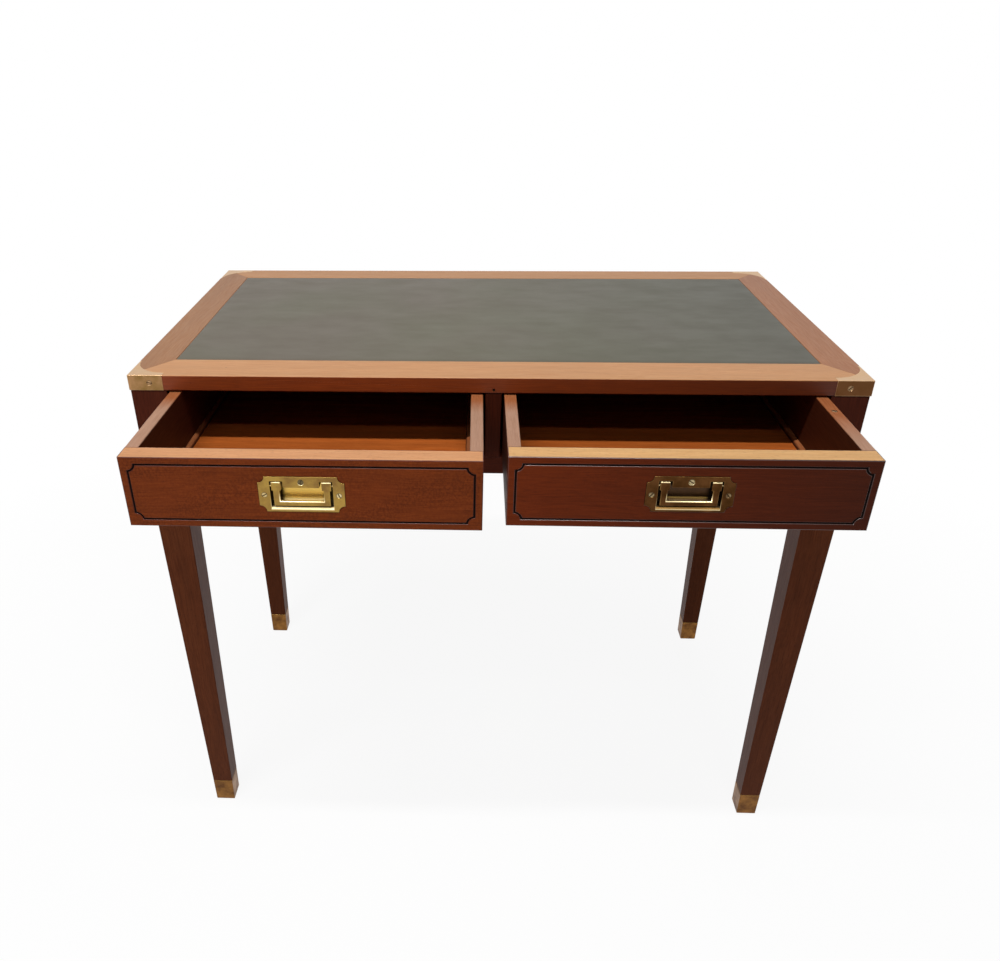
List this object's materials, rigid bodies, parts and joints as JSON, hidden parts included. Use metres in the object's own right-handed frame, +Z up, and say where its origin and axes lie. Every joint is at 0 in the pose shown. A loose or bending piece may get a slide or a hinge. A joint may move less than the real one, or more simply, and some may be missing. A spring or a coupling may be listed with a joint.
{
  "type": "campaign desk",
  "caption": "Leather-topped writing desk on tapered square legs, with side-by-side drawers, recessed drop pulls, brass corner mounts and brass feet.",
  "frame": {"origin": "on the floor, under the middle of the outline with both drawers drawn out as stored", "axes": "+X to the sitter's right along the width, +Y to the back of the desk, +Z up"},
  "size_m": [0.914, 0.6916, 0.762],
  "materials": {
    "mahogany": "French-polished mahogany, satin sheen",
    "mahogany_top": "faded French-polished mahogany, satin sheen",
    "drawer_lining": "oiled mahogany, low sheen",
    "secondary_wood": "unfinished pine and mahogany, matt",
    "leather": "polished dark green writing leather",
    "aged_brass": "aged lacquered brass, satin",
    "brass_screws": "turned brass, satin",
    "ebony_string": "ebony line inlay, polished"
  },
  "bodies": {
    "carcass": {"top_panel": "secondary_wood", "writing_leather": "leather", "corner_mount_front_left": "aged_brass", "corner_mount_front_right": "aged_brass", "corner_mount_back_left": "aged_brass", "corner_mount_back_right": "aged_brass", "corner_mount_screws": "brass_screws", "edge_peg": "ebony_string", "top_frame_front": "mahogany_top", "top_frame_back": "mahogany_top", "top_frame_left": "mahogany_top", "top_frame_right": "mahogany_top", "apron_left": "mahogany", "apron_right": "mahogany", "apron_back": "mahogany", "centre_stile": "mahogany", "drawer_rail": "mahogany", "leg_front_left": "mahogany", "sabot_front_left": "aged_brass", "leg_front_right": "mahogany", "sabot_front_right": "aged_brass", "leg_back_left": "mahogany", "sabot_back_left": "aged_brass", "leg_back_right": "mahogany", "sabot_back_right": "aged_brass", "runner_left": "secondary_wood", "guide_left": "secondary_wood", "runner_right": "secondary_wood", "guide_right": "secondary_wood", "runner_centre": "secondary_wood", "guide_centre": "secondary_wood", "drawer_stops": "secondary_wood", "glue_blocks": "secondary_wood"},
    "drawer_left": {"drawer_left_front": "mahogany", "drawer_left_side_left": "drawer_lining", "drawer_left_side_right": "drawer_lining", "drawer_left_back": "drawer_lining", "drawer_left_bottom": "drawer_lining", "drawer_left_string": "ebony_string", "drawer_left_beads": "drawer_lining", "pull_left_plate": "aged_brass", "pull_left_screws": "brass_screws"},
    "drawer_right": {"drawer_right_front": "mahogany", "drawer_right_side_left": "drawer_lining", "drawer_right_side_right": "drawer_lining", "drawer_right_back": "drawer_lining", "drawer_right_bottom": "drawer_lining", "drawer_right_string": "ebony_string", "drawer_right_beads": "drawer_lining", "pull_right_plate": "aged_brass", "pull_right_screws": "brass_screws", "drawer_right_side_screw": "brass_screws"},
    "handle_left": {"pull_left_bail": "aged_brass", "pull_left_pivots": "aged_brass"},
    "handle_right": {"pull_right_bail": "aged_brass", "pull_right_pivots": "aged_brass"}
  },
  "joints": [
    {"name": "drawer_left_slide", "type": "slide", "parent": "carcass", "child": "drawer_left", "axis": [0, -1, 0], "range_m": [-0.184, 0.146]},
    {"name": "drawer_right_slide", "type": "slide", "parent": "carcass", "child": "drawer_right", "axis": [0, -1, 0], "range_m": [-0.172, 0.158]},
    {"name": "handle_left_hinge", "type": "hinge", "parent": "drawer_left", "child": "handle_left", "pos_m": [-0.21, -0.34325, 0.70635], "axis": [-1, 0, 0], "range_deg": [0, 95]},
    {"name": "handle_right_hinge", "type": "hinge", "parent": "drawer_right", "child": "handle_right", "pos_m": [0.21, -0.33125, 0.70635], "axis": [-1, 0, 0], "range_deg": [0, 95]}
  ]
}
